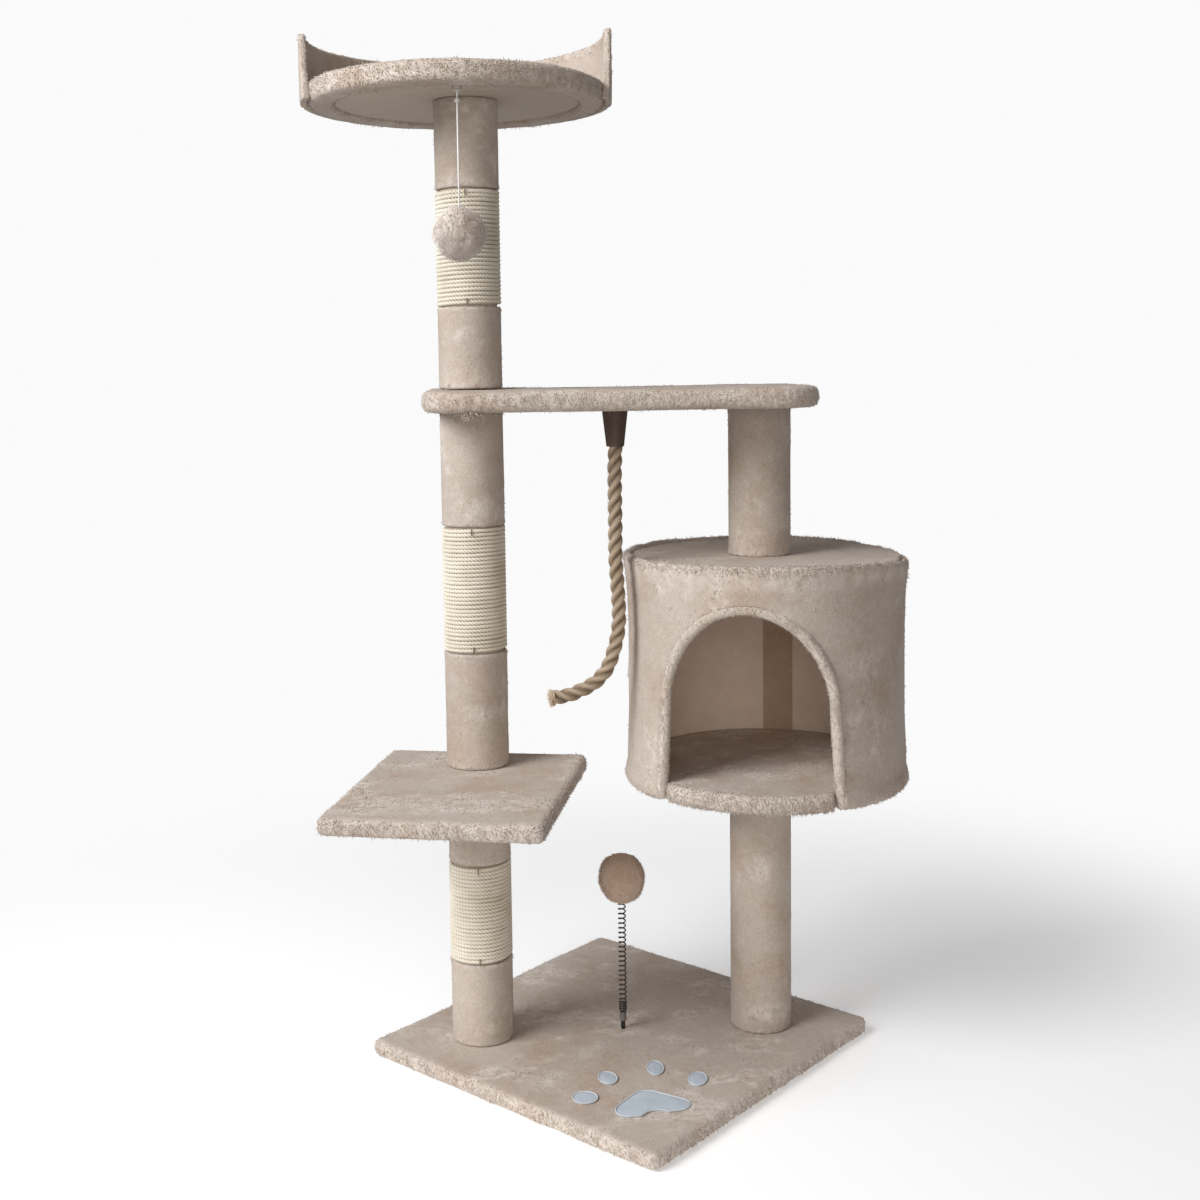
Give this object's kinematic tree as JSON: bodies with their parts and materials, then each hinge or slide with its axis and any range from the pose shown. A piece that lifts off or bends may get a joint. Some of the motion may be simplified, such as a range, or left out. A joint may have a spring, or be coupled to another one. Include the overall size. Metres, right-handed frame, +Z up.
{
  "type": "cat tree",
  "caption": "Free-standing plush cat tree: square base, sisal-wrapped posts, low shelf, round condo with an arched doorway, cross plank, winged round perch, and a rope, pom-pom and spring toy.",
  "frame": {"origin": "centre of the square base, on its underside", "axes": "+X from the perch post to the condo post, -Y towards the front (the paw and the condo's doorway), +Z up"},
  "size_m": [0.6713, 0.567, 1.149],
  "materials": {
    "plush": "matte",
    "board": "matte",
    "tube": "matte",
    "underlay": "matte",
    "paw_felt": "matte",
    "steel": "satin",
    "sisal": "matte",
    "wall_panel": "matte",
    "lining": "matte",
    "seam_tape": "matte",
    "socket_plastic": "satin",
    "rope_fibre": "matte",
    "string": "matte",
    "pompom_pile": "matte",
    "black_plastic": "satin",
    "clear_plastic": "gloss",
    "spring_steel": "satin",
    "ball_felt": "matte"
  },
  "bodies": {
    "stand": {"base_underlay": "underlay", "base_board": "board", "base_cover": "plush", "paw_applique": "paw_felt", "tube_left_lower": "tube", "tube_left_middle": "tube", "tube_left_upper": "tube", "tube_right_lower": "tube", "tube_right_upper": "tube", "post_end_plugs": "board", "threaded_inserts": "steel", "sleeve_left_lower_bottom": "plush", "sleeve_left_lower_top": "plush", "sleeve_left_middle_bottom": "plush", "sleeve_left_middle_top": "plush", "sleeve_left_upper_bottom": "plush", "sleeve_left_upper_top": "plush", "sleeve_right_lower": "plush", "sleeve_right_upper": "plush", "sisal_wrap_lower": "sisal", "sisal_wrap_middle": "sisal", "sisal_wrap_upper": "sisal", "sisal_staples": "steel", "post_bolts": "steel", "bolt_washers": "steel", "post_studs": "steel", "shelf_board": "board", "shelf_cover": "plush", "plank_board": "board", "plank_cover": "plush", "condo_floor_board": "board", "condo_floor_cover": "plush", "condo_roof_board": "board", "condo_roof_cover": "plush", "condo_wall_panel": "wall_panel", "condo_wall_plush": "plush", "condo_wall_lining": "lining", "condo_lining_seam": "seam_tape", "condo_door_binding": "plush", "perch_board": "board", "perch_cover": "plush", "wing_panel_left": "wall_panel", "wing_panel_right": "wall_panel", "wing_cover_left": "plush", "wing_cover_right": "plush", "wing_screws": "steel", "rope_socket": "socket_plastic", "rope_socket_screw": "steel", "string_staple": "steel", "spring_anchor": "black_plastic", "spring_collar": "clear_plastic"},
    "rope_toy": {"rope": "rope_fibre"},
    "pompom_loop": {"string_loop": "string"},
    "pompom_toy": {"pompom_string": "string", "pompom": "pompom_pile"},
    "wand_spring": {"toy_spring": "spring_steel"},
    "wand_ball": {"toy_ball": "ball_felt"}
  },
  "joints": [
    {"name": "rope_sway", "type": "hinge", "parent": "stand", "child": "rope_toy", "pos_m": [-0.006, -0.044, 0.6964], "axis": [1, 0, 0], "range_deg": [-22, 20]},
    {"name": "pompom_swing_fore_aft", "type": "hinge", "parent": "stand", "child": "pompom_loop", "pos_m": [-0.171, -0.11, 1.068], "axis": [1, 0, 0], "range_deg": [-40, 15]},
    {"name": "pompom_swing_side", "type": "hinge", "parent": "pompom_loop", "child": "pompom_toy", "pos_m": [-0.171, -0.11, 1.0625], "axis": [0, 1, 0], "range_deg": [-35, 35]},
    {"name": "wand_lean_side", "type": "hinge", "parent": "stand", "child": "wand_spring", "pos_m": [0, 0, 0.064], "axis": [0, 1, 0], "range_deg": [-30, 30], "stiffness_Nm_per_rad": 0.4, "deforming": ["toy_spring"]},
    {"name": "wand_lean_fore_aft", "type": "hinge", "parent": "wand_spring", "child": "wand_ball", "pos_m": [0, 0, 0.119], "axis": [1, 0, 0], "range_deg": [-30, 30], "stiffness_Nm_per_rad": 0.3, "deforming": ["toy_spring"]}
  ]
}
